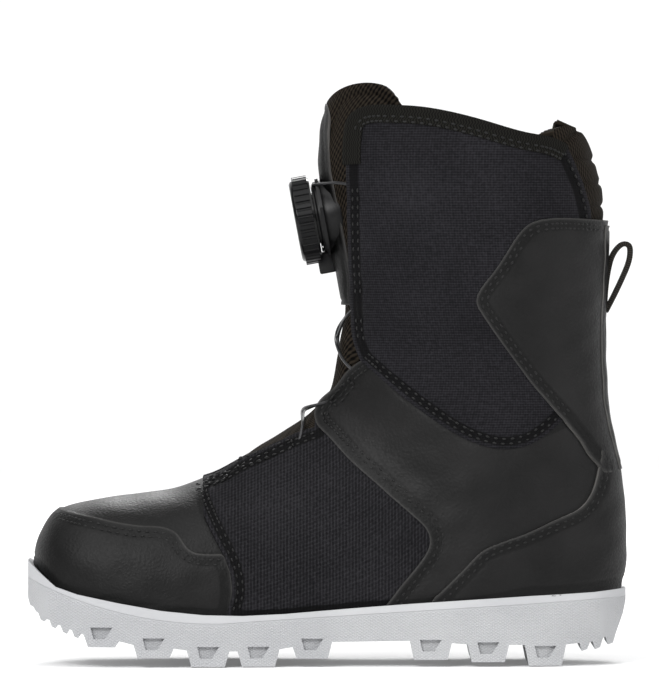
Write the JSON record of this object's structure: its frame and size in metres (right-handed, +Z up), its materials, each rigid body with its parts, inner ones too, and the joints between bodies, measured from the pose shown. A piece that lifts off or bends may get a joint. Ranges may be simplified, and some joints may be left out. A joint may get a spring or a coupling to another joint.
{
  "type": "snowboard boot",
  "caption": "Youth snowboard boot with a high padded shaft, lugged rubber sole, padded tongue and a rotary dial that winds a steel lace.",
  "frame": {"origin": "bottom centre of the whole boot's box, on the surface the sole rests on", "axes": "+Z up, toe towards -X, heel towards +X, medial side towards -Y"},
  "size_m": [0.2512, 0.0992, 0.2406],
  "materials": {
    "sole_rubber": "matt white rubber, fine cross-hatch on the sidewall",
    "eva_foam": "moulded foam",
    "board": "fibre board",
    "nylon": "moulded nylon, satin",
    "leather": "pebbled synthetic leather, satin",
    "textile": "ripstop weave, dull",
    "mesh": "spacer mesh, dull",
    "lining": "brushed lining over foam",
    "stiffener": "thermoplastic sheet",
    "dial_plastic": "polished nylon",
    "dial_rubber": "ribbed grip",
    "steel": "bright",
    "lace_coat": "coated steel cable",
    "webbing": "woven webbing"
  },
  "bodies": {
    "boot": {"outsole": "sole_rubber", "midsole": "eva_foam", "strobel_sole": "board", "lasting_board": "board", "shank": "nylon", "toe_cap": "leather", "vamp": "leather", "heel_counter": "leather", "backstay": "leather", "rear_collar": "mesh", "forefoot_panel_medial": "textile", "forefoot_panel_lateral": "textile", "quarter_medial": "leather", "quarter_lateral": "leather", "shaft_panel_medial": "textile", "shaft_panel_lateral": "textile", "ankle_overlay_medial": "leather", "ankle_overlay_lateral": "leather", "heel_stiffener": "stiffener", "toe_stiffener": "stiffener", "liner": "lining", "footbed": "eva_foam", "lower_tongue": "mesh", "loop_anchor": "webbing", "lace": "lace_coat", "lace_guides_medial": "webbing", "lace_guides_lateral": "webbing"},
    "tongue": {"tongue_cover": "leather", "tongue_pad": "mesh", "tongue_rim": "webbing", "dial_housing": "nylon", "dial_screw": "steel"},
    "drive": {"drive_disc": "nylon", "spool": "nylon"},
    "knob": {"dial_knob": "dial_plastic", "dial_grip": "dial_rubber"},
    "loop": {"pull_loop": "webbing"}
  },
  "joints": [
    {"name": "tongue_fold", "type": "hinge", "parent": "boot", "child": "tongue", "pos_m": [0.00607, 0.00167, 0.119], "axis": [0, -1, 0], "range_deg": [0, 14], "stiffness_Nm_per_rad": 0.05, "deforming": ["lace"]},
    {"name": "dial_spin", "type": "hinge", "parent": "tongue", "child": "drive", "pos_m": [-0.01073, 0.00167, 0.1837], "axis": [-0.9833, 0, -0.1821], "continuous": true},
    {"name": "dial_pull", "type": "slide", "parent": "drive", "child": "knob", "axis": [-0.9833, 0, -0.1821], "range_m": [0, 0.0025]},
    {"name": "pull_loop_swing", "type": "hinge", "parent": "boot", "child": "loop", "pos_m": [0.11387, 0.00167, 0.1456], "axis": [0, 1, 0], "range_deg": [-4, 70], "stiffness_Nm_per_rad": 0.02}
  ]
}
